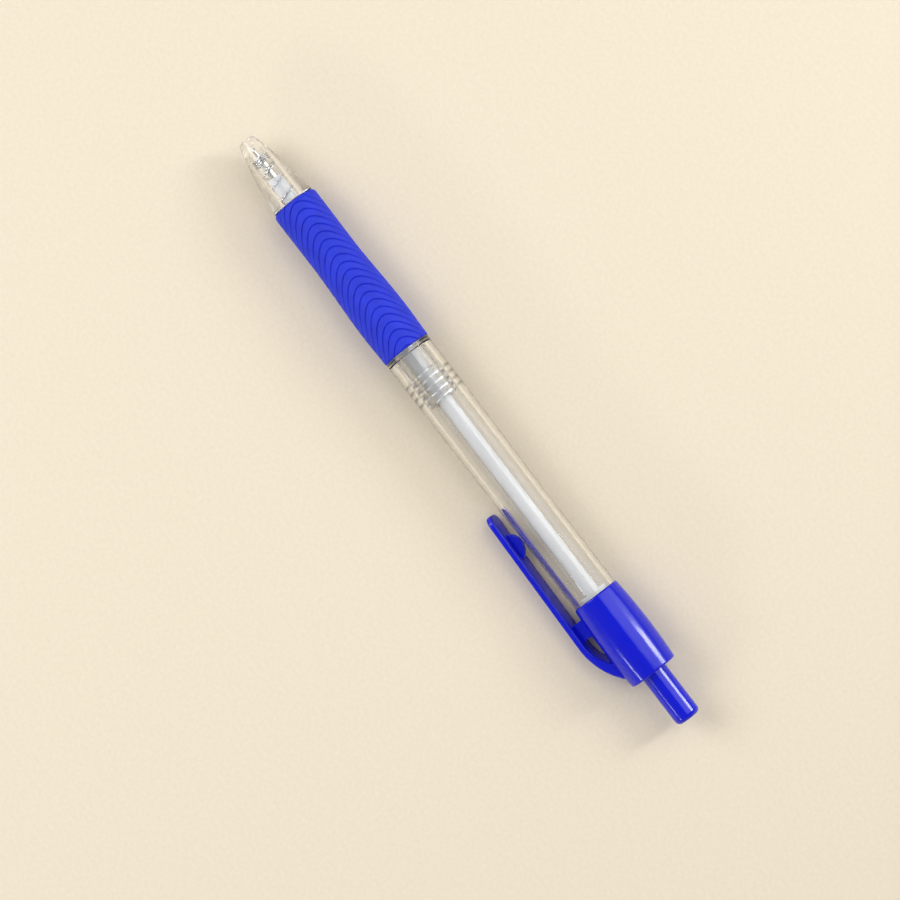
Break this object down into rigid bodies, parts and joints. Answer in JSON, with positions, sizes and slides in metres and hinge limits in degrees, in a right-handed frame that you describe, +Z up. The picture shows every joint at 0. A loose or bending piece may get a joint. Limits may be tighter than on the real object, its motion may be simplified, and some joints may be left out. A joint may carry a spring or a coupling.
{
  "type": "retractable ballpoint pen",
  "caption": "Click ballpoint pen with a clear barrel, grooved blue rubber grip, blue cap with a pocket clip, and a push button that drives the refill out through a latching cam.",
  "frame": {"origin": "on the surface that the pen lies on, under the middle of its bounding box", "axes": "+X along the pen from the writing tip to the button, +Z up, the clip towards -Y and down"},
  "size_m": [0.1422, 0.0143, 0.0108],
  "materials": {
    "clear_plastic": "clear, polished",
    "grip_rubber": "satin",
    "blue_plastic": "glossy",
    "white_plastic": "satin",
    "spring_steel": "drawn wire",
    "tip_metal": "turned",
    "ball_metal": "polished",
    "ink": "wet"
  },
  "bodies": {
    "barrel": {"front_barrel": "clear_plastic", "grip_sleeve": "grip_rubber", "rear_barrel": "clear_plastic", "clip_cap": "blue_plastic", "return_spring": "spring_steel"},
    "button": {"push_button": "blue_plastic"},
    "refill": {"refill_tube": "white_plastic", "writing_tip": "tip_metal", "ink_column": "ink"},
    "rotor": {"cam_rotor": "white_plastic"},
    "ball": {"writing_ball": "ball_metal"},
    "clip": {"clip_arm": "blue_plastic"}
  },
  "joints": [
    {"name": "button_press", "type": "slide", "parent": "barrel", "child": "button", "axis": [-1, 0, 0], "range_m": [0, 0.0058], "stiffness_N_per_m": 180, "springref_m": -0.004},
    {"name": "refill_slide", "type": "slide", "parent": "barrel", "child": "refill", "axis": [-1, 0, 0], "range_m": [0, 0.0058], "deforming": ["return_spring"]},
    {"name": "rotor_turn", "type": "hinge", "parent": "refill", "child": "rotor", "pos_m": [0.0402, 0.00173, 0.00542], "axis": [1, 0, 0], "range_deg": [0, 22.5]},
    {"name": "ball_roll", "type": "hinge", "parent": "refill", "child": "ball", "pos_m": [-0.06885, 0.00173, 0.00542], "axis": [0, 1, 0], "continuous": true},
    {"name": "clip_flex", "type": "hinge", "parent": "barrel", "child": "clip", "pos_m": [0.0433, -0.00628, 0.00205], "axis": [0, -0.3877, 0.9218], "range_deg": [0, 5], "stiffness_Nm_per_rad": 2}
  ],
  "couplings": [
    {"joint": "refill_slide", "follows": "button_press", "ratio": 1},
    {"joint": "rotor_turn", "follows": "button_press", "rad_per_m": 67.7}
  ]
}
